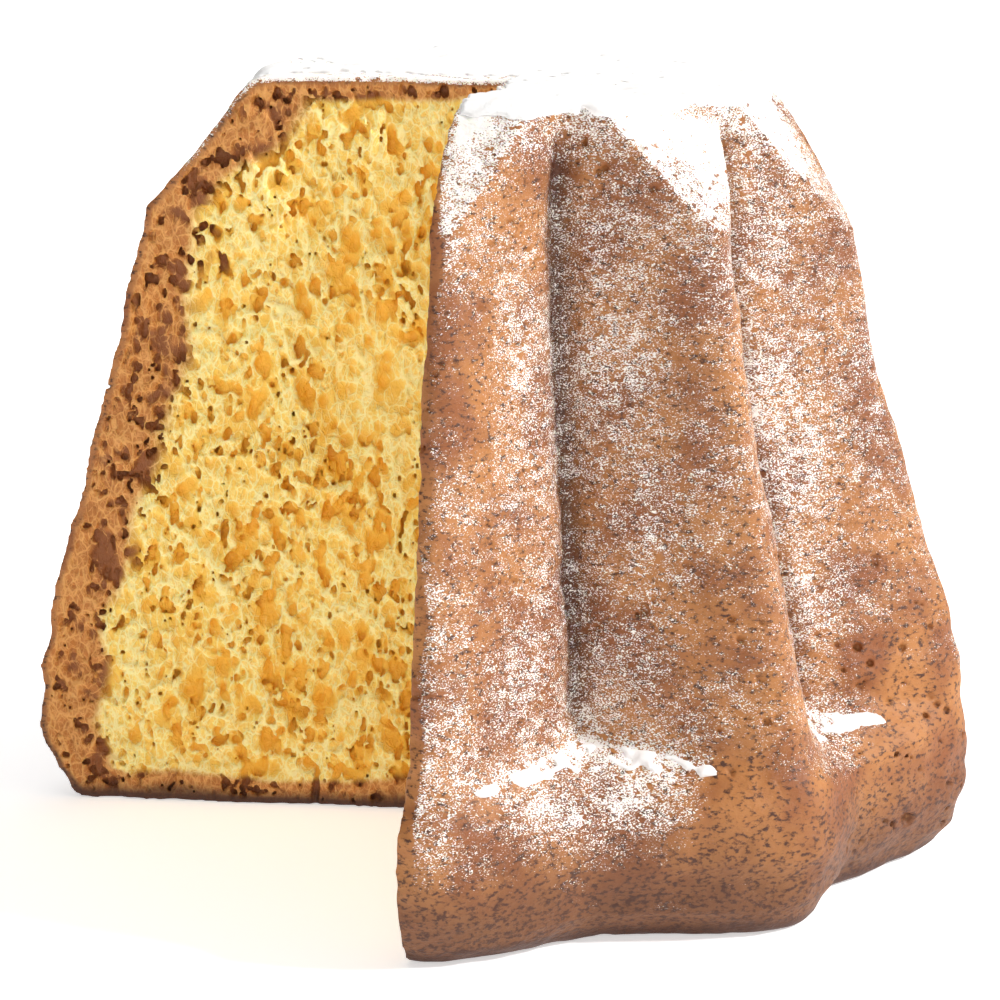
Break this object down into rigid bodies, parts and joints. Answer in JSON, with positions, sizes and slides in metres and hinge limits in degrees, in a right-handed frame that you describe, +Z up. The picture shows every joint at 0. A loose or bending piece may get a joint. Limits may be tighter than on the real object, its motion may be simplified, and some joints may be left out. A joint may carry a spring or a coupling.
{
  "type": "pandoro",
  "caption": "Tall star-shaped sweet yeast loaf with deep flutes and a flat top, dusted with icing sugar, with a wedge cut away to show the yellow crumb.",
  "frame": {"origin": "middle of the loaf's footprint box, on the surface it stands on", "axes": "+Z up, from the wide base to the small flat top; +X to the right and -Y towards a viewer who faces the cut wedge, which opens towards -X and -Y"},
  "size_m": [0.2176, 0.2124, 0.175],
  "materials": {
    "baked_crust": "matt brown oven crust with fine pores, dusted with icing sugar; torn yellow crumb on the cut faces",
    "icing_sugar": "matt white powder, drifted on the top and sifted as fine grains over the walls"
  },
  "bodies": {
    "root": {"loaf": "baked_crust"}
  },
  "joints": []
}
